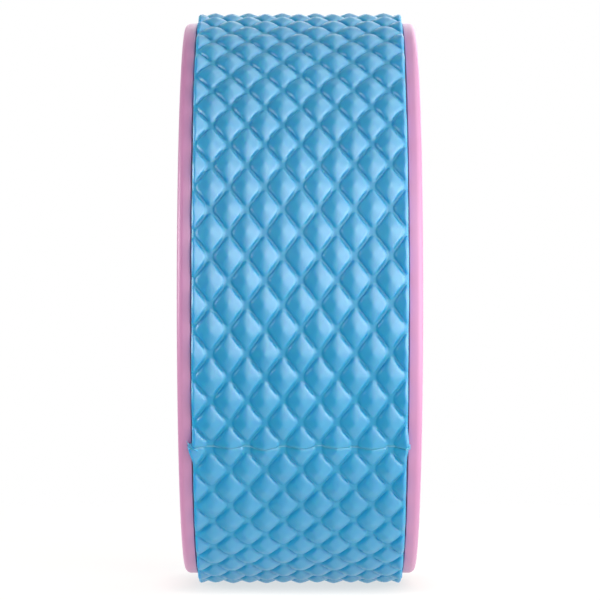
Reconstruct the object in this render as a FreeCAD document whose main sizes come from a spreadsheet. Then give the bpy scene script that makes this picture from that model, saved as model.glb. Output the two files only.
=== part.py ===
"""Yoga wheel: a moulded hoop in two halves with an embossed foam tread glued round it.

Millimetres. The origin is the wheel's centre, +Y is the axle line and +Z is up, so the wheel stands on its
tread. Angles round the wheel start at +X, which is the side in view, and grow towards +Z.
"""
import FreeCAD, Part
import Sketcher
import math
import os

from FreeCAD import Placement, Rotation, Vector

# Driving dimensions, in millimetres, degrees and counts

SIZES = (
    ("tread_diameter", 330.0),   # over the peaks of the pillows
    ("mat_width", 116.0),        # foam strip, edge to edge
    ("mat_base", 5.0),           # foam left under the grooves
    ("pillow_height", 4.0),      # from groove floor to peak
    ("pillow_share", 0.83),      # part of a lattice cell that the pillow takes, the rest is groove
    ("shoulder_share", 0.9),     # part of the pillow inside its rounded shoulder
    ("shoulder_rise", 0.5),      # part of the pillow's height at that shoulder
    ("cells_across", 6),         # lattice cells over the strip's width
    ("cells_round", 40),         # lattice cells over the strip's length
    ("row_spread", 1.4),         # how far the rows open out near the butt joint
    ("seam_angle", -29.7),       # where the strip's ends meet
    ("seam_gap", 0.4),           # glue line between the strip's ends
    ("adhesive_film", 0.3),      # between hoop and foam
    ("film_clearance", 0.1),     # each side of that film
    ("mat_gap", 0.6),            # from the strip's edge to a rim, each side
    ("rim_width", 7.4),          # along the axle
    ("rim_rise", 3.5),           # from the channel floor to the rim's top
    ("rim_edge_round", 3.5),     # outer corner of a rim
    ("bore_edge_round", 2.0),    # corner between side face and bore
    ("hoop_wall", 5.5),          # from the bore to the channel floor
    ("joint_chamfer", 0.4),      # fine groove where the halves meet in the bore
    ("tab_count", 6),            # tabs on each half, with as many slots between them
    ("tab_width", 18.0),         # round the wheel
    ("tab_depth", 2.4),          # through the wall
    ("tab_length", 8.0),         # along the axle
    ("tab_clearance", 0.1),      # to a slot's sides and end
)

# Sizes worked out from the driving ones, as expressions of the sheet

PEAK = "dims.tread_diameter / 2"
GROOVE = f"({PEAK} - dims.pillow_height)"
MAT_INSIDE = f"({GROOVE} - dims.mat_base)"
FILM_OUTSIDE = f"({MAT_INSIDE} - dims.film_clearance)"
FILM_INSIDE = f"({FILM_OUTSIDE} - dims.adhesive_film)"
FLOOR = f"({FILM_INSIDE} - dims.film_clearance)"
RIM_TOP = f"({FLOOR} + dims.rim_rise)"
BORE = f"({FLOOR} - dims.hoop_wall)"
WALL_MIDDLE = f"({FLOOR} - dims.hoop_wall / 2)"
FLANK = "(dims.mat_width / 2 + dims.mat_gap)"
HALF_WIDTH = f"({FLANK} + dims.rim_width)"
RIM_ROUND = "min(dims.rim_edge_round; dims.rim_width / 2)"
BORE_ROUND = "min(dims.bore_edge_round; dims.hoop_wall / 2)"

RIM_FLAT_COUNT = 3               # narrow flats that make up a rim's rounded corner
BORE_FLAT_COUNT = 2              # and the bore's
AXLE = Vector(0, 1, 0)
FULL_TURN = 360
QUARTER_TURN = 90
ORIGIN, START, END = -1, 1, 2    # a sketch's own names for its origin and for an edge's two ends

doc = FreeCAD.newDocument("yoga_wheel")
sheet = doc.addObject("Spreadsheet::Sheet", "dims")
for row, (alias, size) in enumerate(SIZES, 1):
    sheet.set(f"A{row}", alias)
    sheet.set(f"B{row}", str(size))
    sheet.setAlias(f"B{row}", alias)
doc.recompute()


def value(expression):
    """The number that an expression of the sheet gives now."""
    return float(sheet.evalExpression(expression))


# Sketches and features shared by the moulded pieces

def origin_feature(body, role):
    return next(item for item in body.Origin.OriginFeatures if item.Role == role)


def new_body(label):
    body = doc.addObject("PartDesign::Body", label)
    body.Label = label
    return body


def new_sketch(body, name, plane):
    sketch = body.newObject("Sketcher::SketchObject", name)
    sketch.AttachmentSupport = (origin_feature(body, plane), [""])
    sketch.MapMode = "FlatFace"
    return sketch


def pin_point(sketch, edge, point, place):
    """Hold one point of an edge at a place given as two expressions."""
    for kind, expression in zip(("DistanceX", "DistanceY"), place):
        size = value(expression)
        number = sketch.addConstraint(Sketcher.Constraint(kind, ORIGIN, START, edge, point, size))
        sketch.setExpression(f"Constraints[{number}]", expression)


def outline(body, name, plane, corners):
    """A closed straight-sided outline, its corners given as pairs of expressions."""
    sketch = new_sketch(body, name, plane)
    points = [Vector(value(x), value(y), 0) for x, y in corners]
    for edge, start in enumerate(points):
        end = points[(edge + 1) % len(points)]
        sketch.addGeometry(Part.LineSegment(start, end), False)
    for edge, corner in enumerate(corners):
        before = (edge - 1) % len(points)
        sketch.addConstraint(Sketcher.Constraint("Coincident", before, END, edge, START))
        pin_point(sketch, edge, START, corner)
    return sketch


def rounded_corner(x, y, radius, flat_count, inward_x, inward_y):
    """Corner points of a rounded corner made of narrow flats, from its x side to its y side."""
    points = []
    for step in range(flat_count + 1):
        angle = QUARTER_TURN * step / flat_count
        points.append((f"{x} + ({inward_x}) * {radius} * (1 - cos({angle}))",
                       f"{y} + ({inward_y}) * {radius} * (1 - sin({angle}))"))
    return points


def revolve(body, name, sketch):
    feature = body.newObject("PartDesign::Revolution", name)
    feature.Profile = sketch
    feature.ReferenceAxis = (sketch, ["V_Axis"])
    feature.Angle = FULL_TURN
    return feature


def extrude(body, kind, name, sketch, length):
    feature = body.newObject(f"PartDesign::{kind}", name)
    feature.Profile = sketch
    feature.setExpression("Length", length)
    return feature


def repeat_round(body, name, feature, count):
    pattern = body.newObject("PartDesign::PolarPattern", name)
    pattern.Originals = [feature]
    pattern.Axis = (origin_feature(body, "Y_Axis"), [""])
    pattern.Angle = FULL_TURN
    pattern.setExpression("Occurrences", count)
    body.Tip = pattern


# The hoop: two mouldings from one tool, turned face to face

def hoop_half(label):
    """One half of the hoop, from the middle plane out to the rim on the +Y side."""
    body = new_body(label)
    rim_corner = rounded_corner(RIM_TOP, HALF_WIDTH, RIM_ROUND, RIM_FLAT_COUNT, -1, -1)
    bore_corner = rounded_corner(BORE, HALF_WIDTH, BORE_ROUND, BORE_FLAT_COUNT, 1, -1)
    section = outline(body, "section", "XY_Plane", [
        (f"{BORE} + dims.joint_chamfer", "0"),
        (BORE, "dims.joint_chamfer"),
        *bore_corner,
        *reversed(rim_corner),
        (RIM_TOP, FLANK),
        (FLOOR, FLANK),
        (FLOOR, "0"),
    ])
    revolve(body, "ring", section)

    tab_outline = slot_outline(body, "tab_outline", "0")
    tab = extrude(body, "Pad", "tab", tab_outline, "dims.tab_length")
    repeat_round(body, "tabs", tab, "dims.tab_count")

    slot_mouth = slot_outline(body, "slot_mouth", "dims.tab_clearance")
    slot_mouth.setExpression("AttachmentOffset.Rotation.Angle", "180 / dims.tab_count")
    slot = extrude(body, "Pocket", "slot", slot_mouth, "dims.tab_length + dims.tab_clearance")
    repeat_round(body, "slots", slot, "dims.tab_count")
    return body


def slot_outline(body, name, clearance):
    """A tab's outline on the middle plane, widened by a clearance where it is a slot's."""
    inside = f"{WALL_MIDDLE} - dims.tab_depth / 2 - {clearance}"
    outside = f"{WALL_MIDDLE} + dims.tab_depth / 2 + {clearance}"
    side = f"(dims.tab_width / 2 + {clearance})"
    corners = ((inside, f"-{side}"), (outside, f"-{side}"), (outside, side), (inside, side))
    return outline(body, name, "XZ_Plane", corners)


def hoop():
    right = hoop_half("right_hoop_half")
    left = hoop_half("left_hoop_half")
    # turned over about a line midway between a tab and a slot, each tab meets a slot
    midway = math.radians(QUARTER_TURN / value("dims.tab_count"))
    turning_line = Vector(math.cos(midway), 0, math.sin(midway))
    left.Placement = Placement(Vector(), Rotation(turning_line, FULL_TURN / 2))
    return [left, right]


# What holds the foam on

def at_seam():
    """Turns a piece drawn with the butt joint on +X to where the joint is."""
    return Placement(Vector(), Rotation(AXLE, -value("dims.seam_angle")))


def tread_adhesive():
    body = new_body("tread_adhesive")
    edge = "dims.mat_width / 2"
    film_section = outline(body, "film_section", "XY_Plane", (
        (FILM_INSIDE, f"-{edge}"), (FILM_OUTSIDE, f"-{edge}"), (FILM_OUTSIDE, edge), (FILM_INSIDE, edge),
    ))
    revolve(body, "film", film_section)
    return body


def seam_glue():
    """The glue line between the strip's ends, as deep as the foam under the grooves."""
    body = new_body("seam_glue")
    edge = "dims.mat_width / 2"
    line_outline = outline(body, "line_outline", "XY_Plane", (
        (MAT_INSIDE, f"-{edge}"), (GROOVE, f"-{edge}"), (GROOVE, edge), (MAT_INSIDE, edge),
    ))
    glue_line = extrude(body, "Pad", "glue_line", line_outline, "dims.seam_gap")
    glue_line.Midplane = True
    body.Placement = at_seam()
    return body


# The foam tread: a strip of diamond pillows bent round the hoop

class Tread:
    """Faces of the strip, drawn with the butt joint on +X.

    A place on the strip is (u, v) in lattice cells: u over the width, v along the length. Pillows stand at
    whole (u, v) and at half (u, v), so the strip's edges and ends halve the pillows that lie on them.
    """

    def __init__(self):
        self.across = int(value("dims.cells_across"))
        self.along = int(value("dims.cells_round"))
        self.width = value("dims.mat_width")
        self.spread = value("dims.row_spread")
        self.half_gap = value("dims.seam_gap") / 2
        self.inside = value(MAT_INSIDE)
        self.groove = value(GROOVE)
        self.peak = value(PEAK)
        self.shoulder = self.groove + value("dims.shoulder_rise") * value("dims.pillow_height")
        self.reach = value("dims.pillow_share") / 2
        self.shoulder_reach = self.reach * value("dims.shoulder_share")
        self.faces = []

    def point(self, u, v, radius):
        turn = math.radians(FULL_TURN * v / self.along)
        angle = turn + math.radians(self.spread) * math.sin(turn)
        if v == 0:
            angle = math.asin(self.half_gap / radius)
        elif v == self.along:
            angle = 2 * math.pi - math.asin(self.half_gap / radius)
        axial = self.width * (u / self.across - 0.5)
        return Vector(radius * math.cos(angle), axial, radius * math.sin(angle))

    def on_strip(self, u, v):
        return 0 <= u <= self.across and 0 <= v <= self.along

    def add_fan(self, points):
        """Cover a small patch with flat triangles."""
        for second, third in zip(points[1:], points[2:]):
            self.faces.append(Part.Face(Part.makePolygon([points[0], second, third, points[0]])))

    def pillow_centres(self):
        for v in range(self.along + 1):
            for u in range(self.across + 1):
                yield u, v
                if u < self.across and v < self.along:
                    yield u + 0.5, v + 0.5

    def add_pillow(self, u, v):
        """The quarters of a pillow that lie on the strip, each a shoulder and a crown facet."""
        for side in (-1, 1):
            for end in (-1, 1):
                if not self.on_strip(u + side * self.reach, v + end * self.reach):
                    continue
                foot = [self.point(u + side * self.reach, v, self.groove),
                        self.point(u, v + end * self.reach, self.groove)]
                bend = [self.point(u + side * self.shoulder_reach, v, self.shoulder),
                        self.point(u, v + end * self.shoulder_reach, self.shoulder)]
                self.add_fan([foot[0], foot[1], bend[1], bend[0]])
                self.add_fan([bend[0], bend[1], self.point(u, v, self.peak)])

    def add_grooves(self, u, v):
        """The four groove floors round a pillow that stands at half (u, v)."""
        reach = self.reach
        for side in (-0.5, 0.5):
            for end in (-0.5, 0.5):
                sign_u, sign_v = 2 * side, 2 * end
                near_side = (u + sign_u * reach, v)
                near_end = (u, v + sign_v * reach)
                far_end = (u + side, v + end - sign_v * reach)
                far_side = (u + side - sign_u * reach, v + end)
                patch = [near_side, far_end, far_side, near_end]
                self.add_fan([self.point(*place, self.groove) for place in patch])

    def add_crossing(self, u, v):
        """The groove floor where two grooves cross, halved at the strip's edges and ends."""
        gap = 0.5 - self.reach
        corners = ((u + gap, v), (u, v + gap), (u - gap, v), (u, v - gap))
        kept = [corner for corner in corners if self.on_strip(*corner)]
        self.add_fan([self.point(*corner, self.groove) for corner in kept])

    def edge_line(self, steps, place):
        """Points over the pillows along an edge of the strip, where place turns a step into (u, v)."""
        line = []
        for step in range(steps + 1):
            for offset, radius in ((-self.reach, self.groove), (-self.shoulder_reach, self.shoulder),
                                   (0, self.peak), (self.shoulder_reach, self.shoulder),
                                   (self.reach, self.groove)):
                if 0 <= step + offset <= steps:
                    line.append(self.point(*place(step + offset), radius))
        return line

    def add_walls(self):
        """The strip's two cut edges, its two ends and its back."""
        margin = math.asin(self.half_gap / self.inside)
        arcs = []
        for u in (0, self.across):
            axial = self.width * (u / self.across - 0.5)
            back_circle = Part.Circle(Vector(0, axial, 0), -AXLE, self.inside)
            back_circle.XAxis = Vector(1, 0, 0)
            arc = back_circle.toShape(margin, 2 * math.pi - margin)
            arcs.append(arc)
            rim_line = self.edge_line(self.along, lambda step, u=u: (u, step))
            self.faces.append(Part.Face(Part.Wire(Part.__sortEdges__([
                arc,
                Part.makePolygon([self.point(u, 0, self.inside), rim_line[0]]).Edges[0],
                *Part.makePolygon(rim_line).Edges,
                Part.makePolygon([rim_line[-1], self.point(u, self.along, self.inside)]).Edges[0],
            ]))))
        for v in (0, self.along):
            end_line = self.edge_line(self.across, lambda step, v=v: (step, v))
            corners = [self.point(0, v, self.inside), *end_line, self.point(self.across, v, self.inside)]
            self.faces.append(Part.Face(Part.makePolygon([*corners, corners[0]])))
        self.faces.append(arcs[0].extrude(self.width * AXLE))

    def solid(self):
        for u, v in self.pillow_centres():
            self.add_pillow(u, v)
            if u != int(u):
                self.add_grooves(u, v)
        for v in range(self.along + 1):
            for u in range(self.across + 1):
                if u < self.across:
                    self.add_crossing(u + 0.5, v)
                if v < self.along:
                    self.add_crossing(u, v + 0.5)
        self.add_walls()
        shell = Part.makeShell(self.faces)
        shell.sewShape()
        strip = Part.makeSolid(shell)
        if strip.Volume < 0:
            strip.reverse()
        return strip


def tread_mat():
    mat = doc.addObject("Part::Feature", "tread_mat")
    mat.Label = "tread_mat"
    mat.Shape = Tread().solid()
    mat.Placement = at_seam()
    return mat


# Build, check and write

pieces = [*hoop(), tread_adhesive(), tread_mat(), seam_glue()]
doc.recompute()
for item in doc.Objects:
    if {"Invalid", "Error"} & set(item.State):
        raise RuntimeError(f"{item.Label} failed: {item.State}")
for piece in pieces:
    shape = piece.Shape
    if shape.isNull() or not shape.isValid() or len(shape.Solids) != 1:
        raise RuntimeError(f"{piece.Label} is not one sound solid")
    print(f"{piece.Label}: {shape.Volume / 1000:.2f} cm3, {len(shape.Faces)} faces")

os.makedirs("parts", exist_ok=True)
for piece in pieces:
    piece.Shape.exportStep(f"parts/{piece.Label}.step")
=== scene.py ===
"""Yoga wheel: a pink moulded hoop with an embossed blue foam tread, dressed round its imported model.

The wheel's centre is the origin, +Y is its axle line and it stands on its tread with +Z up. The camera
looks along -X, with +Y on its right. Angles round the wheel start at +X and grow towards +Z. The wheel's
own sizes are in millimetres, those of the stage, the lights and the camera's place in metres.
"""

import math

import bpy
import numpy as np
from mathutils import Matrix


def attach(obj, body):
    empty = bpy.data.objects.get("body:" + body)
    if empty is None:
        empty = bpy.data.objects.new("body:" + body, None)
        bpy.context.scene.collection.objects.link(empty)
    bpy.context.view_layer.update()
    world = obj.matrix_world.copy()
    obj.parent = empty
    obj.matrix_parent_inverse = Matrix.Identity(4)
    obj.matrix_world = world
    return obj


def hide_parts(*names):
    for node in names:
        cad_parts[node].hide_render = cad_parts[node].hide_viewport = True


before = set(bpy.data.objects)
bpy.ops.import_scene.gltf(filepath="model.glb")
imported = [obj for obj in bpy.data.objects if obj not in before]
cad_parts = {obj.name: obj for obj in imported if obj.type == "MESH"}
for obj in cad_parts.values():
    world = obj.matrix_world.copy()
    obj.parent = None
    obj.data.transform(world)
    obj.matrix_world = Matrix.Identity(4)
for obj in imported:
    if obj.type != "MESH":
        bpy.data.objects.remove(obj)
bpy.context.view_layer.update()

MM = 0.001
FULL_TURN = 2 * math.pi

# Sizes of the wheel

PEAK = 165.0                 # radius over the pillows
PILLOW_HEIGHT = 3.3
GROOVE = PEAK - PILLOW_HEIGHT
MAT_INSIDE = 156.0           # radius of the mat's back
MAT_WIDTH = 116.0
RIM_TOP = 159.0              # radius of the rims
CHANNEL_FLOOR = 155.5        # radius between the rims
BORE = 150.0                 # radius
RIM_FLANK = 58.6             # from the middle plane to a rim's inner side
HALF_WIDTH = 66.0

# Edges of the hoop

RIM_ROUNDING = 3.5
BORE_ROUNDING = 2.0
FLANK_ROUNDING = 0.4
JOINT_EASE = ((0.4, 0.0), (0.1, 0.12), (0.0, 0.4))   # the joint's edge in the bore, as (radial, axial)
HOOP_SEGMENTS = 360

# The tread's lattice, in cells: u over the width, v along the strip

CELLS_ACROSS = 6
CELLS_ROUND = 40
STEPS = 28                   # mesh steps in a cell
PILLOW_STEPS = 13            # of those, from a pillow's foot to its peak along the width
PILLOW_REACH = PILLOW_STEPS / STEPS
CROWN_FALL = 0.62            # part of its height that a pillow's crown loses on the way to a side
CROWN_POWER = 1.5            # 1 makes a pyramid of it, 2 a round dome
SIDE_POWER = 16              # the higher, the steeper the sides
CORNER_POWER = 5             # the lower, the rounder a pillow's corners
SEAM_ANGLE = math.radians(-29.7)
ROW_SPREAD = math.radians(1.95)   # how far rows shift at most, so that those near the seam stand apart
ROW_TILT = 0.009             # slope of the rows, rising to the right
END_OVERRUN = 2 / STEPS      # how far each end of the strip passes the middle of its last pillows

# How the strip strays from a perfect one. A wave is given as (size, frequency, phase)

EDGE_ROLL = 1.4              # how far the top rolls down at the strip's cut edges
ROLL_STEPS = 2               # over so many mesh steps
LIP = RIM_TOP + 0.35         # radius at which the spread edges clear the rims
END_DROP = 0.35              # how far the ends' last line of points is worn down
EDGE_REACH = 0.9             # cells from a cut edge in which the pattern gives way to it
DRIFT_WAVE = (0.9, 1, 2.0)
DRIFT_LEFT = 0.35            # how far to the left the pattern sits as a whole
LEFT_EDGE_WAVES = ((0.12, 5, 0.3), (0.10, 11, 2.0))
RIGHT_EDGE_WAVES = ((0.12, 4, 1.2), (0.10, 13, 0.7))
SEAM_WAVES = ((0.35, 2.1, 0.4), (0.25, 4.7, 1.9), (0.12, 9.3, 0.2))
SEAM_REACH = 0.35            # cells over which the rows bend into the seam's line
SEAM_GAP = 0.35
GAP_REACH = 0.2              # cells over which the ends draw back to leave the gap

# How far the strip's last and first ends spread over the rims, and over how many cells that fades

LEFT_LAST_SPREAD = (2.3, 0.42)
LEFT_FIRST_SPREAD = (0.3, 0.3)
RIGHT_LAST_SPREAD = (0.7, 0.3)
RIGHT_FIRST_SPREAD = (1.0, 0.45)

# The glue's bead in the seam

BEAD_SUNK = 0.3              # below the pillows' own surface
BEAD_PROUD = 0.25            # what the grooves' crossings give back of that
BEAD_WIDER = 0.1             # added to its half width there
BEAD_FADE = 1.2              # pillow height at which both have faded out
BEAD_SHOULDER = 0.15         # from its middle down to its sides
BEAD_DEPTH = 0.8             # at least
BEAD_FOOT = RIM_TOP + 0.6
BEAD_WAVES = ((0.08, 17, 0.5), (0.06, 31, 1.1))

# Threads of foam at the seam, with points of (axial, round, radius), round being along the tread

FRAY_LEFT_LONG = ((-55.2, -0.4, 165.6), (-57.6, 0.6, 165.2), (-59.6, 1.8, 163.2), (-61.6, 3.2, 160.6))
FRAY_LEFT_SHORT = ((-56.6, -0.2, 165.4), (-58.8, 0.3, 164.0), (-60.9, 1.2, 161.6))
FRAY_RIGHT = ((57.0, 0.3, 165.2), (58.6, 0.6, 164.4), (59.8, 1.4, 162.2))
FIBRE_STATIONS = 24
FIBRE_SIDES = 7
FIBRE_TIP = 0.04             # radius left at the tip
FIBRE_TAPER = 3              # the higher, the nearer to its tip a thread thins
FIBRE_SMOOTHING = 3          # passes that round off the route's corners

# Nicks of moulding flash, each with sections of (axial, half length, half depth)

FLASH_SECTIONS = ((59.4, 0.75, 0.45), (58.9, 0.6, 0.4), (58.4, 0.42, 0.32), (58.02, 0.22, 0.2))
FLASH_SIDES = 8
FLASH_DROP = 0.42            # from the rim's top to the middle of a nick
FLASH_LEFT_ANGLE = math.radians(-42.9)
FLASH_RIGHT_ANGLE = math.radians(-42.2)

# Looks

SHEEN_RISE = 0.4             # part of a pillow's height over which its sheen comes up out of the grooves' painted shade

# Stage, lights and camera, in metres and watts

FLOOR_LEVEL = -PEAK * MM
FLOOR_DROP = 0.0002          # leaves the floor just clear of the tread
FLOOR_HALF_SIDE = 0.9
FLOOR_FADE = (0.30, 0.85)    # distances from the wheel between which the floor fades into the background
FLOOR_COLOUR = (0.26, 0.22, 0.19, 1)
FLOOR_BOUNCE = 0.75          # light that the studio's wide white floor sends up to the wheel
FLOOR_GLOW = 0.87            # what brings the floor to white in the camera, short of its shadow
PAINTED_SHADOW_REACH = 0.022        # how near the wheel a painted shadow dims both
PAINTED_SHADOW_LEVEL = 0.76         # what the painted shadow leaves of them right under it
ROOM_LEVEL = 0.1             # light of the room all round, also in reflections that miss the white backdrop
BACKDROP_BEHIND = (-0.5, -1.0)   # X of a reflection's direction where the white backdrop starts and is full
BACKDROP_RIGHT = (-0.5, 0.4)     # the same for Y
BACKDROP_BELOW = (-0.8, -1.0)    # and for Z
LIGHTS = {                   # position, side and power of each soft box
    "key": ((1.30, 0.80, 0.18), 2.0, 19.0),
    "right": ((0.40, 1.45, 0.10), 1.5, 15.0),
    "front": ((1.25, 0.30, 0.95), 0.9, 3.5),
    "fill": ((0.10, -1.50, 0.30), 0.9, 15.0),
    "top": ((0.0, 0.80, 1.45), 1.4, 6.0),
    "back": ((-1.60, 0.30, 0.35), 1.4, 12.0),
}
CAMERA_PLACE = (1.98, 0.0, -0.00105)
CAMERA_LENS = 204.5          # millimetres, like the sensor's width
CAMERA_SENSOR = 36.0
CAMERA_CLIP = (0.1, 20.0)


def wave(x, *terms):
    """A sum of sine waves, each given as its size, its frequency and its phase."""
    return sum(size * np.sin(frequency * x + phase) for size, frequency, phase in terms)


def smooth_fall(distance, reach):
    """1 at no distance, easing to 0 at the reach."""
    share = np.clip(1 - distance / reach, 0, 1)
    return share * share * (3 - 2 * share)


def place(angle, axial, radius):
    """Points in metres at an angle round the wheel, a place along the axle line and a radius."""
    return np.stack([radius * np.cos(angle), axial, radius * np.sin(angle)], -1) * MM


def tube_faces(sides, stations):
    """Faces of a closed tube whose points run along each of its sides in turn."""
    faces = []
    for side in range(sides):
        after = (side + 1) % sides
        for station in range(stations - 1):
            here = side * stations + station
            there = after * stations + station
            faces.append((here, there, there + 1, here + 1))
    faces.append(tuple(side * stations for side in reversed(range(sides))))
    faces.append(tuple(side * stations + stations - 1 for side in range(sides)))
    return faces


def add_piece(name, points, faces, material, sharp_degrees):
    """A smooth piece on the wheel's one body, with hard edges where its faces turn by more than an angle."""
    mesh = bpy.data.meshes.new(name)
    mesh.from_pydata([tuple(point) for point in points], [], faces)
    mesh.validate()
    mesh.update()
    mesh.materials.append(material)
    mesh.shade_smooth()
    mesh.set_sharp_from_angle(angle=math.radians(sharp_degrees))
    piece = bpy.data.objects.new(name, mesh)
    bpy.context.scene.collection.objects.link(piece)
    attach(piece, "root")
    return piece


# Shader nodes

def new_material(name):
    material = bpy.data.materials.new(name)
    material.use_nodes = True
    tree = material.node_tree
    return material, tree.nodes, tree.links, tree.nodes["Principled BSDF"]


def noise(nodes, links, coordinates, scale, detail):
    node = nodes.new("ShaderNodeTexNoise")
    node.inputs["Scale"].default_value = scale
    node.inputs["Detail"].default_value = detail
    links.new(coordinates.outputs["Object"], node.inputs["Vector"])
    return node.outputs["Fac"]


def ramp(nodes, links, source, *stops):
    """Colour for a grey output, between two stops of (position, colour)."""
    node = nodes.new("ShaderNodeValToRGB")
    for element, (position, colour) in zip(node.color_ramp.elements, stops):
        element.position = position
        element.color = (*colour, 1)
    links.new(source, node.inputs["Fac"])
    return node.outputs["Color"]


def grey_range(nodes, links, source, low, high, start=0.0, end=1.0):
    """Low up to the start, high from the end on, and evenly between them."""
    node = nodes.new("ShaderNodeMapRange")
    node.inputs["From Min"].default_value = start
    node.inputs["From Max"].default_value = end
    node.inputs["To Min"].default_value = low
    node.inputs["To Max"].default_value = high
    links.new(source, node.inputs["Value"])
    return node.outputs["Result"]


def smooth_step(nodes, links, source, start, end):
    """0 before the start, easing to 1 at the end."""
    node = nodes.new("ShaderNodeMapRange")
    node.interpolation_type = "SMOOTHSTEP"
    node.inputs["From Min"].default_value = start
    node.inputs["From Max"].default_value = end
    links.new(source, node.inputs["Value"])
    return node.outputs["Result"]


def combine(nodes, links, operation, first, second):
    node = nodes.new("ShaderNodeMath")
    node.operation = operation
    links.new(first, node.inputs[0])
    links.new(second, node.inputs[1])
    return node.outputs["Value"]


def largest(nodes, links, first, *others):
    for other in others:
        first = combine(nodes, links, "MAXIMUM", first, other)
    return first


def vector_length(nodes, links, vector):
    node = nodes.new("ShaderNodeVectorMath")
    node.operation = "LENGTH"
    links.new(vector, node.inputs[0])
    return node.outputs["Value"]


def from_axle(nodes, links, coordinates):
    """Distance of a point from the axle line."""
    flat = nodes.new("ShaderNodeVectorMath")
    flat.operation = "MULTIPLY"
    flat.inputs[1].default_value = (1, 0, 1)
    links.new(coordinates.outputs["Object"], flat.inputs[0])
    return vector_length(nodes, links, flat.outputs["Vector"])


def add_bump(nodes, links, shader, source, strength, distance):
    node = nodes.new("ShaderNodeBump")
    node.inputs["Strength"].default_value = strength
    node.inputs["Distance"].default_value = distance
    links.new(source, node.inputs["Height"])
    links.new(node.outputs["Normal"], shader.inputs["Normal"])


# Materials

def foam_material():
    """Closed-cell foam with a moulded skin: a fine grain, and a sheen that the grooves have less of, as
    painted shade for the reflections that their pillows block.
    """
    material, nodes, links, shader = new_material("blue_foam")
    coordinates = nodes.new("ShaderNodeTexCoord")
    cloud = noise(nodes, links, coordinates, scale=22.0, detail=3.0)
    tint = ramp(nodes, links, cloud, (0.3, (0.018, 0.375, 0.65)), (0.7, (0.026, 0.405, 0.69)))
    links.new(tint, shader.inputs["Base Color"])
    grain = noise(nodes, links, coordinates, scale=1600.0, detail=3.0)
    links.new(grey_range(nodes, links, grain, low=0.36, high=0.44), shader.inputs["Roughness"])
    shader.inputs["IOR"].default_value = 1.62
    sheen_foot = GROOVE * MM
    sheen_top = (GROOVE + SHEEN_RISE * PILLOW_HEIGHT) * MM
    radius = from_axle(nodes, links, coordinates)
    # Painted shade: the grooves get a weaker sheen, standing in for the pillows blocking their reflections.
    sheen = grey_range(nodes, links, radius, low=0.6, high=1.0, start=sheen_foot, end=sheen_top)
    links.new(sheen, shader.inputs["Specular IOR Level"])
    shader.inputs["Subsurface Weight"].default_value = 1.0
    shader.inputs["Subsurface Radius"].default_value = (0.15, 0.6, 1.0)
    shader.inputs["Subsurface Scale"].default_value = 0.0035
    add_bump(nodes, links, shader, grain, strength=0.08, distance=0.0002)
    return material


def plastic_material():
    """Satin moulded plastic with the faint mottle of its mould."""
    material, nodes, links, shader = new_material("pink_plastic")
    coordinates = nodes.new("ShaderNodeTexCoord")
    cloud = noise(nodes, links, coordinates, scale=14.0, detail=2.0)
    tint = ramp(nodes, links, cloud, (0.3, (0.64, 0.26, 0.49)), (0.7, (0.68, 0.29, 0.52)))
    links.new(tint, shader.inputs["Base Color"])
    grain = noise(nodes, links, coordinates, scale=900.0, detail=2.0)
    links.new(grey_range(nodes, links, grain, low=0.36, high=0.46), shader.inputs["Roughness"])
    shader.inputs["Specular IOR Level"].default_value = 1.0
    add_bump(nodes, links, shader, grain, strength=0.05, distance=0.0002)
    return material


def glue_material():
    """Dry glue, pale and a little glossy where it has set in a bead."""
    material, nodes, links, shader = new_material("pale_glue")
    coordinates = nodes.new("ShaderNodeTexCoord")
    cloud = noise(nodes, links, coordinates, scale=160.0, detail=3.0)
    tint = ramp(nodes, links, cloud, (0.35, (0.07, 0.40, 0.66)), (0.65, (0.22, 0.55, 0.80)))
    links.new(tint, shader.inputs["Base Color"])
    shader.inputs["Roughness"].default_value = 0.4
    add_bump(nodes, links, shader, cloud, strength=0.3, distance=0.0004)
    return material


def adhesive_material():
    """The contact adhesive under the foam: a dull, streaky film."""
    material, nodes, links, shader = new_material("contact_adhesive")
    coordinates = nodes.new("ShaderNodeTexCoord")
    streaks = noise(nodes, links, coordinates, scale=90.0, detail=4.0)
    tint = ramp(nodes, links, streaks, (0.3, (0.52, 0.47, 0.34)), (0.7, (0.68, 0.63, 0.50)))
    links.new(tint, shader.inputs["Base Color"])
    shader.inputs["Roughness"].default_value = 0.6
    add_bump(nodes, links, shader, streaks, strength=0.2, distance=0.0003)
    return material


# The foam tread

def pillow_height(u, v):
    """Height over the groove floor, in millimetres. The grooves run both ways across the strip, so u + v
    and u - v number the pillows."""
    crown = 1.0
    outline = 0.0
    for number in (u + v, u - v):
        off_centre = np.abs(number - np.round(number)) / PILLOW_REACH
        crown = crown * (1 - CROWN_FALL * np.minimum(off_centre, 1) ** CROWN_POWER)
        outline = outline + off_centre ** CORNER_POWER
    inside = np.clip(1 - outline ** (SIDE_POWER / CORNER_POWER), 0, 1)
    return PILLOW_HEIGHT * crown * inside


def strip_angle(v):
    """Angle round the wheel. The rows stand a little further apart near the seam."""
    length = CELLS_ROUND + 2 * END_OVERRUN
    turn = FULL_TURN * (v + END_OVERRUN) / length
    return SEAM_ANGLE + turn + ROW_SPREAD * np.sin(turn)


def strip_axial(u):
    """Place along the axle line on a perfect strip."""
    return MAT_WIDTH * (u / CELLS_ACROSS - 0.5)


def seam_shift(u):
    """How far the seam strays from a straight line, in millimetres round the wheel."""
    return wave(u, *SEAM_WAVES)


def pattern_drift(u, angle):
    """How far the pattern wanders sideways round the wheel, between its straight cut edges."""
    inside = 1 - smooth_fall(u, EDGE_REACH) - smooth_fall(CELLS_ACROSS - u, EDGE_REACH)
    return inside * (wave(angle, DRIFT_WAVE) - DRIFT_LEFT)


def end_spread(from_last, last_spread, from_first, first_spread):
    """How far an edge spreads near the strip's two ends."""
    last, last_reach = last_spread
    first, first_reach = first_spread
    return last * smooth_fall(from_last, last_reach) + first * smooth_fall(from_first, first_reach)


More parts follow.
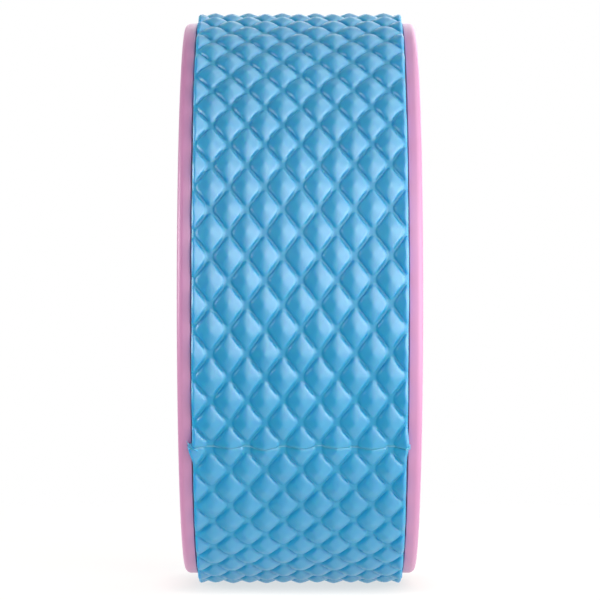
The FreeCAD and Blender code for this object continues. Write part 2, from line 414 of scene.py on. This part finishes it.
def edge_stray(u, angle, from_first, from_last):
    """How far the cut edges stray from straight, and how the ends spread over the rims at the seam."""
    left = smooth_fall(u, EDGE_REACH)
    right = smooth_fall(CELLS_ACROSS - u, EDGE_REACH)
    stray = left * wave(angle, *LEFT_EDGE_WAVES) + right * wave(angle, *RIGHT_EDGE_WAVES)
    left_spread = end_spread(from_last, LEFT_LAST_SPREAD, from_first, LEFT_FIRST_SPREAD)
    right_spread = end_spread(from_last, RIGHT_LAST_SPREAD, from_first, RIGHT_FIRST_SPREAD)
    return stray - left * left_spread + right * right_spread


def tread_grid():
    """u and v of the embossed top's points, with a row of points for each step along the strip."""
    extra = round(END_OVERRUN * STEPS)
    across = np.arange(CELLS_ACROSS * STEPS + 1)
    along = np.arange(CELLS_ROUND * STEPS + 2 * extra + 1) - extra
    return np.meshgrid(across / STEPS, along / STEPS)


def tread_top(u, v):
    """Angle, place along the axle line and radius of the embossed top's points."""
    from_first = v + END_OVERRUN
    from_last = CELLS_ROUND + END_OVERRUN - v
    axial = strip_axial(u)

    near_seam = smooth_fall(np.minimum(from_first, from_last), SEAM_REACH)
    half_gap = SEAM_GAP / 2 / GROOVE
    angle = strip_angle(v) + near_seam * seam_shift(u) / GROOVE
    angle = angle + half_gap * (smooth_fall(from_first, GAP_REACH) - smooth_fall(from_last, GAP_REACH))
    angle = angle + ROW_TILT * axial / GROOVE * (1 - near_seam)

    axial = axial + pattern_drift(u, angle) + edge_stray(u, angle, from_first, from_last)

    steps_from_edge = np.minimum(u, CELLS_ACROSS - u) * STEPS
    half_step = 0.5 / STEPS
    at_an_end = (from_first < half_step) | (from_last < half_step)
    radius = GROOVE + pillow_height(u, v)
    radius = radius - EDGE_ROLL * np.clip(1 - steps_from_edge / ROLL_STEPS, 0, 1) ** 2
    radius = radius - END_DROP * at_an_end
    return angle, axial, radius


def top_faces(columns, rows):
    """Triangles of the embossed top, each pair split along the pillows' sides."""
    faces = []
    for row in range(rows - 1):
        v = (row + 0.5) / STEPS - END_OVERRUN
        for column in range(columns - 1):
            u = (column + 0.5) / STEPS
            near_left = row * columns + column
            near_right = near_left + 1
            far_left = near_left + columns
            far_right = far_left + 1
            if (u - round(u)) * (v - round(v)) > 0:
                faces += [(near_left, far_left, near_right), (near_right, far_left, far_right)]
            else:
                faces += [(near_left, far_right, near_right), (near_left, far_left, far_right)]
    return faces


def wall_faces(columns, rows):
    """Faces of the cut edges, the back and the two ends. After the top's points come four lines of points
    along the strip: the left edge's lip and back, then the right edge's."""
    top = np.arange(rows * columns).reshape(rows, columns)
    left_lip, left_back, right_lip, right_back = top.size + np.arange(4 * rows).reshape(4, rows)
    chain = (top[:, 0], left_lip, left_back, right_back, right_lip, top[:, -1])
    faces = []
    for row in range(rows - 1):
        for first, second in zip(chain, chain[1:]):
            faces.append((first[row], first[row + 1], second[row + 1], second[row]))
    for row, order in ((0, 1), (rows - 1, -1)):
        around = [*top[row], right_lip[row], right_back[row], left_back[row], left_lip[row]]
        faces.append(around[::order])
    return [tuple(int(corner) for corner in face) for face in faces]


def tread(material):
    """The strip: its embossed top, two cut edges, two ends and the back."""
    u, v = tread_grid()
    rows, columns = u.shape
    angle, axial, radius = tread_top(u, v)
    points = [place(angle, axial, radius).reshape(-1, 3)]
    for column, side in ((0, -1), (columns - 1, 1)):
        back = np.full(rows, side * MAT_WIDTH / 2)
        points.append(place(angle[:, column], axial[:, column], LIP))
        points.append(place(angle[:, column], back, MAT_INSIDE))
    faces = top_faces(columns, rows) + wall_faces(columns, rows)
    piece = add_piece("tread_foam", np.concatenate(points), faces, material, sharp_degrees=48)
    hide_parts("tread_mat")


# The seam

def seam_bead(material):
    """The glue between the strip's ends: level with their worn edges in the pillows, and a little proud of
    them where the grooves cross."""
    u = np.linspace(0, CELLS_ACROSS, CELLS_ACROSS * STEPS + 1)
    at_seam = np.zeros_like(u)
    angle = SEAM_ANGLE + seam_shift(u) / GROOVE
    axial = strip_axial(u) + edge_stray(u, angle, at_seam, at_seam)
    height = pillow_height(u, at_seam - END_OVERRUN)
    in_groove = smooth_fall(height, BEAD_FADE)
    top = GROOVE + height + BEAD_PROUD * in_groove + wave(u, *BEAD_WAVES) - BEAD_SUNK
    shoulder = top - BEAD_SHOULDER
    bottom = np.minimum(top - BEAD_DEPTH, BEAD_FOOT)
    half = (SEAM_GAP / 2 + BEAD_WIDER * in_groove) / GROOVE
    section = ((-half, bottom), (-half, shoulder), (at_seam, top), (half, shoulder), (half, bottom))
    points = np.concatenate([place(angle + offset, axial, radius) for offset, radius in section])
    faces = tube_faces(len(section), len(u))
    piece = add_piece("seam_bead", points, faces, material, sharp_degrees=60)
    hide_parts("seam_glue")


def fibre(name, route, thickness, material):
    """A strand of foam along a route, tapering to its far end."""
    knots = np.linspace(0, 1, len(route))
    along = np.linspace(0, 1, FIBRE_STATIONS)
    axial, round_mm, radius = (np.interp(along, knots, values) for values in zip(*route))
    for _ in range(FIBRE_SMOOTHING):
        for line in (axial, round_mm, radius):
            line[1:-1] = (line[:-2] + 2 * line[1:-1] + line[2:]) / 4
    girth = thickness / 2 * (1 - along ** FIBRE_TAPER) + FIBRE_TIP
    points = []
    for side in range(FIBRE_SIDES):
        turn = FULL_TURN * side / FIBRE_SIDES
        lift = girth * math.sin(turn)
        across = girth * math.cos(turn)
        points.append(place(SEAM_ANGLE + (round_mm + across) / GROOVE, axial, radius + lift))
    faces = tube_faces(FIBRE_SIDES, FIBRE_STATIONS)
    add_piece(name, np.concatenate(points), faces, material, sharp_degrees=70)


def frays(material):
    """Loose threads of foam at the two ends of the seam."""
    fibre("fray_left_long", FRAY_LEFT_LONG, thickness=0.9, material=material)
    fibre("fray_left_short", FRAY_LEFT_SHORT, thickness=0.7, material=material)
    fibre("fray_right", FRAY_RIGHT, thickness=0.8, material=material)


# The hoop

def arc(centre_x, centre_y, radius, start, end, steps):
    """Points of an arc from its start to its end, both in degrees."""
    for angle in np.radians(np.linspace(start, end, steps + 1)):
        yield centre_x + radius * math.cos(angle), centre_y + radius * math.sin(angle)


def half_section():
    """Outline of the right half, as (radius, axial) pairs, from the joint in the channel round by the bore
    and the rim back to the channel."""
    rim_middle = HALF_WIDTH - RIM_ROUNDING
    bore_middle = HALF_WIDTH - BORE_ROUNDING
    flank_middle = RIM_FLANK + FLANK_ROUNDING
    return [
        (CHANNEL_FLOOR, 0.0),
        *((BORE + radial, axial) for radial, axial in JOINT_EASE),
        *arc(BORE + BORE_ROUNDING, bore_middle, BORE_ROUNDING, start=180, end=90, steps=6),
        *arc(RIM_TOP - RIM_ROUNDING, rim_middle, RIM_ROUNDING, start=90, end=0, steps=10),
        *arc(RIM_TOP - FLANK_ROUNDING, flank_middle, FLANK_ROUNDING, start=0, end=-90, steps=3),
        (CHANNEL_FLOOR, RIM_FLANK),
    ]


def hoop_half(name, node, side, material):
    """One half of the hoop, turned round the axle line. The side is 1 for the right half and -1 for the
    left, whose faces have their corners in the other order."""
    section = half_section()
    angle = np.linspace(0, FULL_TURN, HOOP_SEGMENTS, endpoint=False)
    points = [place(angle, np.full(HOOP_SEGMENTS, side * axial), radius) for radius, axial in section]
    faces = []
    for ring in range(len(section)):
        here = ring * HOOP_SEGMENTS
        there = (ring + 1) % len(section) * HOOP_SEGMENTS
        for step in range(HOOP_SEGMENTS):
            turn = (step + 1) % HOOP_SEGMENTS
            corners = (here + step, here + turn, there + turn, there + step)
            faces.append(corners[::side])
    piece = add_piece(name, np.concatenate(points), faces, material, sharp_degrees=35)
    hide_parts(node)


def flash(name, side, angle, material):
    """A nick of moulding flash on a rim's inner corner, reaching the foam's edge. The side is as for the
    hoop's halves."""
    points = []
    for step in range(FLASH_SIDES):
        turn = FULL_TURN * step / FLASH_SIDES
        for axial, half_length, half_depth in FLASH_SECTIONS:
            offset = half_length * math.cos(turn) / RIM_TOP
            radius = RIM_TOP - FLASH_DROP + half_depth * math.sin(turn)
            points.append(place(angle + offset, side * axial, radius))
    faces = [face[::side] for face in tube_faces(FLASH_SIDES, len(FLASH_SECTIONS))]
    add_piece(name, points, faces, material, sharp_degrees=60)


# Stage, light and camera

def seen_straight(nodes, links, path):
    """1 for rays straight from the camera or through something clear."""
    return largest(nodes, links, path.outputs["Is Camera Ray"], path.outputs["Is Transmission Ray"])


def camera_rays(nodes, links):
    """1 for the kinds of ray that show a surface to the camera: straight, through something clear or
    reflected."""
    path = nodes.new("ShaderNodeLightPath")
    return largest(nodes, links, seen_straight(nodes, links, path), path.outputs["Is Glossy Ray"])


def backdrop_rays(nodes, links):
    """1 for rays that see the white backdrop: straight from the camera, and in reflections of what is
    behind the wheel, on its right or straight below. The rest of the room is dim in reflections."""
    path = nodes.new("ShaderNodeLightPath")
    coordinates = nodes.new("ShaderNodeTexCoord")
    direction = nodes.new("ShaderNodeSeparateXYZ")
    links.new(coordinates.outputs["Generated"], direction.inputs["Vector"])
    behind = smooth_step(nodes, links, direction.outputs["X"], *BACKDROP_BEHIND)
    right = smooth_step(nodes, links, direction.outputs["Y"], *BACKDROP_RIGHT)
    below = smooth_step(nodes, links, direction.outputs["Z"], *BACKDROP_BELOW)
    backdrop = largest(nodes, links, behind, right, below)
    reflected = combine(nodes, links, "MULTIPLY", path.outputs["Is Glossy Ray"], backdrop)
    return largest(nodes, links, seen_straight(nodes, links, path), reflected)


def world_light():
    """The white backdrop, and the dim light of the room for all other rays."""
    world = bpy.data.worlds.new("studio")
    bpy.context.scene.world = world
    world.use_nodes = True
    nodes = world.node_tree.nodes
    links = world.node_tree.links
    background = nodes["Background"]
    background.inputs["Color"].default_value = (1, 1, 1, 1)
    level = grey_range(nodes, links, backdrop_rays(nodes, links), low=ROOM_LEVEL, high=1.0)
    links.new(level, background.inputs["Strength"])


def floor_glow(nodes, links):
    """Light of the floor: what it shows to the camera and what it sends up, both dimmed near the wheel by a
    painted shadow that follows occlusion.
    """
    level = grey_range(nodes, links, camera_rays(nodes, links), low=FLOOR_BOUNCE, high=FLOOR_GLOW)
    # Painted shadow: occlusion darkens the floor's white glow and its bounce close under the wheel.
    occlusion = nodes.new("ShaderNodeAmbientOcclusion")
    occlusion.inputs["Distance"].default_value = PAINTED_SHADOW_REACH
    painted_shadow = grey_range(nodes, links, occlusion.outputs["AO"], low=PAINTED_SHADOW_LEVEL, high=1.0)
    glow = nodes.new("ShaderNodeEmission")
    links.new(combine(nodes, links, "MULTIPLY", level, painted_shadow), glow.inputs["Strength"])
    return glow.outputs["Emission"]


def floor_material():
    """Floor that shows white to the camera where no shadow lies, with a painted shadow in its glow near the
    wheel, and fades into the white background.
    """
    material, nodes, links, shader = new_material("pale_floor")
    nodes.remove(shader)
    diffuse = nodes.new("ShaderNodeBsdfDiffuse")
    diffuse.inputs["Color"].default_value = FLOOR_COLOUR
    lit = nodes.new("ShaderNodeAddShader")
    links.new(diffuse.outputs["BSDF"], lit.inputs[0])
    links.new(floor_glow(nodes, links), lit.inputs[1])

    coordinates = nodes.new("ShaderNodeTexCoord")
    distance = vector_length(nodes, links, coordinates.outputs["Object"])
    clear = nodes.new("ShaderNodeBsdfTransparent")
    mix = nodes.new("ShaderNodeMixShader")
    links.new(smooth_step(nodes, links, distance, *FLOOR_FADE), mix.inputs["Fac"])
    links.new(lit.outputs["Shader"], mix.inputs[1])
    links.new(clear.outputs["BSDF"], mix.inputs[2])
    links.new(mix.outputs["Shader"], nodes["Material Output"].inputs["Surface"])
    return material


def stage_floor():
    """The floor under the wheel. Reflections don't show it, so that the backdrop alone is white in them."""
    size = FLOOR_HALF_SIDE
    corners = [(-size, -size, 0), (size, -size, 0), (size, size, 0), (-size, size, 0)]
    mesh = bpy.data.meshes.new("floor")
    mesh.from_pydata(corners, [], [(0, 1, 2, 3)])
    mesh.materials.append(floor_material())
    floor = bpy.data.objects.new("floor", mesh)
    floor.location = (0, 0, FLOOR_LEVEL - FLOOR_DROP)
    bpy.context.scene.collection.objects.link(floor)
    floor.visible_glossy = False


def area_light(name, position, side, power):
    """A square soft box aimed at the wheel's centre."""
    light = bpy.data.lights.new(name, "AREA")
    light.size = side
    light.energy = power
    lamp = bpy.data.objects.new(name, light)
    bpy.context.scene.collection.objects.link(lamp)
    lamp.location = position
    direction = -lamp.location
    lamp.rotation_euler = direction.to_track_quat("-Z", "Y").to_euler()


def camera():
    """The photograph's view of the wheel."""
    view = bpy.data.cameras.new("camera")
    view.sensor_width = CAMERA_SENSOR
    view.lens = CAMERA_LENS
    view.clip_start, view.clip_end = CAMERA_CLIP
    eye = bpy.data.objects.new("camera", view)
    eye.location = CAMERA_PLACE
    eye.rotation_euler = (math.radians(90), 0, math.radians(90))
    bpy.context.scene.collection.objects.link(eye)
    bpy.context.scene.camera = eye


def dress_adhesive():
    """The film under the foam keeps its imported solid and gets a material."""
    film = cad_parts["tread_adhesive"].data
    film.materials.clear()
    film.materials.append(adhesive_material())


def build():
    plastic = plastic_material()
    foam = foam_material()
    tread(foam)
    seam_bead(glue_material())
    frays(foam)
    hoop_half("hoop_left", "left_hoop_half", -1, plastic)
    hoop_half("hoop_right", "right_hoop_half", 1, plastic)
    flash("flash_left", -1, FLASH_LEFT_ANGLE, plastic)
    flash("flash_right", 1, FLASH_RIGHT_ANGLE, plastic)
    dress_adhesive()
    stage_floor()
    world_light()
    for name, (position, side, power) in LIGHTS.items():
        area_light(name, position, side, power)
    camera()


build()
scene = bpy.context.scene
scene.view_settings.view_transform = "Standard"
